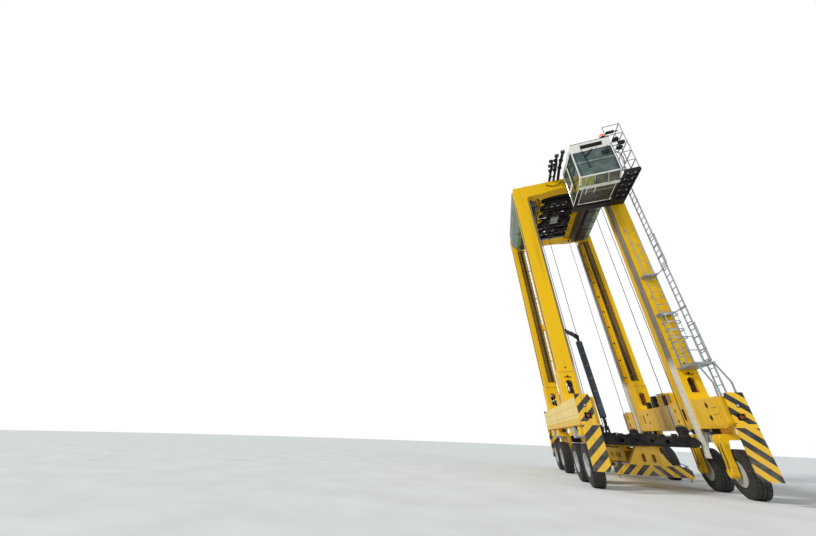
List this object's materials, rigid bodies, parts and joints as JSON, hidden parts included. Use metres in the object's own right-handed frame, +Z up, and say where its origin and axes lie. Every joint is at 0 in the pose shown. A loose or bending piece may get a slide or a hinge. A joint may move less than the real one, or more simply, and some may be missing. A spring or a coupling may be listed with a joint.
{
  "type": "straddle carrier",
  "caption": "Tall portal frame on steered wheels that straddles a container, with a side cab, rope hoist and telescopic spreader.",
  "frame": {"origin": "on the ground, at the centre of the machine's bounding box", "axes": "+Z up, -Y towards the cab and the front guards, +X to the cab's side of the frame"},
  "size_m": [4.9, 11.78, 15.822],
  "materials": {
    "yellow_paint": "gloss yellow enamel, lightly weathered",
    "grey_paint": "satin light grey enamel",
    "navy_paint": "dark blue black enamel, greasy",
    "black_steel": "satin black enamel",
    "white_paint": "gloss off white enamel",
    "pale_steel": "worn bare steel running face",
    "galvanised": "galvanised steel",
    "glass": "tinted safety glass",
    "tyre": "dusty black rubber",
    "wire_rope": "greased wire rope",
    "amber": "amber lens",
    "seat": "dark seat cloth",
    "energy_chain": "black plastic chain"
  },
  "bodies": {
    "chassis": {"sill_left": "yellow_paint", "sill_right": "yellow_paint", "leg_front_left": "yellow_paint", "leg_front_right": "yellow_paint", "leg_rear_left": "yellow_paint", "leg_rear_right": "yellow_paint", "beam_front": "yellow_paint", "beam_rear": "yellow_paint", "girders": "yellow_paint", "side_house_left": "grey_paint", "side_house_right": "grey_paint", "machinery_deck": "black_steel", "guide_rails": "pale_steel", "drive_units": "yellow_paint", "sill_boxes": "grey_paint", "guards": "yellow_paint", "cab_shell": "white_paint", "cab_glass": "glass", "cab_seat": "seat", "cab_platform": "black_steel", "platform_rails": "galvanised", "lamp_arms": "black_steel", "beacon_lamps": "amber", "ladders": "galvanised", "landings": "galvanised", "stair": "galvanised", "ladder_cages": "galvanised", "cable_chains": "energy_chain", "hoist_ropes": "wire_rope", "arm_bracket": "yellow_paint"},
    "spreader": {"headblock": "navy_paint", "rope_sheaves": "black_steel", "spreader_frame": "yellow_paint"},
    "hoist_drum_front": {"hoist_drum_front": "grey_paint"},
    "hoist_drum_rear": {"hoist_drum_rear": "grey_paint"},
    "spreader_end_front": {"spreader_end_front": "yellow_paint"},
    "spreader_end_rear": {"spreader_end_rear": "yellow_paint"},
    "cable_arm_upper": {"cable_arm_upper": "black_steel"},
    "cable_arm_lower": {"cable_arm_lower": "black_steel"},
    "knuckle_l1": {"knuckle_l1": "yellow_paint"},
    "wheel_l1": {"wheel_l1": "tyre"},
    "knuckle_l2": {"knuckle_l2": "yellow_paint"},
    "wheel_l2": {"wheel_l2": "tyre"},
    "knuckle_l3": {"knuckle_l3": "yellow_paint"},
    "wheel_l3": {"wheel_l3": "tyre"},
    "knuckle_l4": {"knuckle_l4": "yellow_paint"},
    "wheel_l4": {"wheel_l4": "tyre"},
    "knuckle_r1": {"knuckle_r1": "yellow_paint"},
    "wheel_r1": {"wheel_r1": "tyre"},
    "knuckle_r2": {"knuckle_r2": "yellow_paint"},
    "wheel_r2": {"wheel_r2": "tyre"},
    "knuckle_r3": {"knuckle_r3": "yellow_paint"},
    "wheel_r3": {"wheel_r3": "tyre"},
    "knuckle_r4": {"knuckle_r4": "yellow_paint"},
    "wheel_r4": {"wheel_r4": "tyre"}
  },
  "joints": [
    {"name": "hoist", "type": "slide", "parent": "chassis", "child": "spreader", "axis": [0, 0, 1], "range_m": [0, 11.4], "deforming": ["hoist_ropes"]},
    {"name": "drum_front_turn", "type": "hinge", "parent": "chassis", "child": "hoist_drum_front", "pos_m": [0, -0.81, 15.09], "axis": [1, 0, 0], "continuous": true},
    {"name": "drum_rear_turn", "type": "hinge", "parent": "chassis", "child": "hoist_drum_rear", "pos_m": [0, 1.39, 15.09], "axis": [-1, 0, 0], "continuous": true},
    {"name": "telescope_front", "type": "slide", "parent": "spreader", "child": "spreader_end_front", "axis": [0, -1, 0], "range_m": [0, 3.067]},
    {"name": "telescope_rear", "type": "slide", "parent": "spreader", "child": "spreader_end_rear", "axis": [0, 1, 0], "range_m": [0, 3.067]},
    {"name": "arm_upper_swing", "type": "hinge", "parent": "chassis", "child": "cable_arm_upper", "pos_m": [-1.1, 2.64, 8.1], "axis": [-1, 0, 0], "range_deg": [0, 98.25]},
    {"name": "arm_elbow_swing", "type": "hinge", "parent": "cable_arm_upper", "child": "cable_arm_lower", "pos_m": [-1.1, -2.06, 6.25], "axis": [1, 0, 0], "range_deg": [0, 9.59]},
    {"name": "steer_r1", "type": "hinge", "parent": "chassis", "child": "knuckle_r1", "pos_m": [2.21, -4.01, 1.9], "axis": [0, 0, 1], "range_deg": [-30, 30]},
    {"name": "roll_r1", "type": "hinge", "parent": "knuckle_r1", "child": "wheel_r1", "pos_m": [2.21, -4.01, 0.75], "axis": [1, 0, 0], "continuous": true},
    {"name": "steer_r2", "type": "hinge", "parent": "chassis", "child": "knuckle_r2", "pos_m": [2.21, -1.86, 1.9], "axis": [0, 0, 1], "range_deg": [-15.1, 15.1]},
    {"name": "roll_r2", "type": "hinge", "parent": "knuckle_r2", "child": "wheel_r2", "pos_m": [2.21, -1.86, 0.75], "axis": [1, 0, 0], "continuous": true},
    {"name": "steer_r3", "type": "hinge", "parent": "chassis", "child": "knuckle_r3", "pos_m": [2.21, 2.44, 1.9], "axis": [0, 0, 1], "range_deg": [-15.1, 15.1]},
    {"name": "roll_r3", "type": "hinge", "parent": "knuckle_r3", "child": "wheel_r3", "pos_m": [2.21, 2.44, 0.75], "axis": [1, 0, 0], "continuous": true},
    {"name": "steer_r4", "type": "hinge", "parent": "chassis", "child": "knuckle_r4", "pos_m": [2.21, 4.59, 1.9], "axis": [0, 0, 1], "range_deg": [-30.1, 30.1]},
    {"name": "roll_r4", "type": "hinge", "parent": "knuckle_r4", "child": "wheel_r4", "pos_m": [2.21, 4.59, 0.75], "axis": [1, 0, 0], "continuous": true},
    {"name": "steer_l1", "type": "hinge", "parent": "chassis", "child": "knuckle_l1", "pos_m": [-2.21, -4.01, 1.9], "axis": [0, 0, 1], "range_deg": [-30.1, 30.1]},
    {"name": "roll_l1", "type": "hinge", "parent": "knuckle_l1", "child": "wheel_l1", "pos_m": [-2.21, -4.01, 0.75], "axis": [1, 0, 0], "continuous": true},
    {"name": "steer_l2", "type": "hinge", "parent": "chassis", "child": "knuckle_l2", "pos_m": [-2.21, -1.86, 1.9], "axis": [0, 0, 1], "range_deg": [-15.1, 15.1]},
    {"name": "roll_l2", "type": "hinge", "parent": "knuckle_l2", "child": "wheel_l2", "pos_m": [-2.21, -1.86, 0.75], "axis": [1, 0, 0], "continuous": true},
    {"name": "steer_l3", "type": "hinge", "parent": "chassis", "child": "knuckle_l3", "pos_m": [-2.21, 2.44, 1.9], "axis": [0, 0, 1], "range_deg": [-15.1, 15.1]},
    {"name": "roll_l3", "type": "hinge", "parent": "knuckle_l3", "child": "wheel_l3", "pos_m": [-2.21, 2.44, 0.75], "axis": [1, 0, 0], "continuous": true},
    {"name": "steer_l4", "type": "hinge", "parent": "chassis", "child": "knuckle_l4", "pos_m": [-2.21, 4.59, 1.9], "axis": [0, 0, 1], "range_deg": [-30.1, 30.1]},
    {"name": "roll_l4", "type": "hinge", "parent": "knuckle_l4", "child": "wheel_l4", "pos_m": [-2.21, 4.59, 0.75], "axis": [1, 0, 0], "continuous": true}
  ],
  "couplings": [
    {"joint": "drum_front_turn", "follows": "hoist", "rad_per_m": 6.6667},
    {"joint": "drum_rear_turn", "follows": "hoist", "rad_per_m": 6.6667},
    {"joint": "telescope_rear", "follows": "telescope_front", "ratio": 1},
    {"joint": "arm_upper_swing", "follows": "hoist", "rad_per_m": 0.15041},
    {"joint": "arm_elbow_swing", "follows": "hoist", "rad_per_m": 0.014669},
    {"joint": "steer_r2", "follows": "steer_r1", "ratio": 0.5},
    {"joint": "steer_r3", "follows": "steer_r1", "ratio": -0.5},
    {"joint": "steer_r4", "follows": "steer_r1", "ratio": -1},
    {"joint": "steer_l1", "follows": "steer_r1", "ratio": 1},
    {"joint": "steer_l2", "follows": "steer_r1", "ratio": 0.5},
    {"joint": "steer_l3", "follows": "steer_r1", "ratio": -0.5},
    {"joint": "steer_l4", "follows": "steer_r1", "ratio": -1}
  ]
}
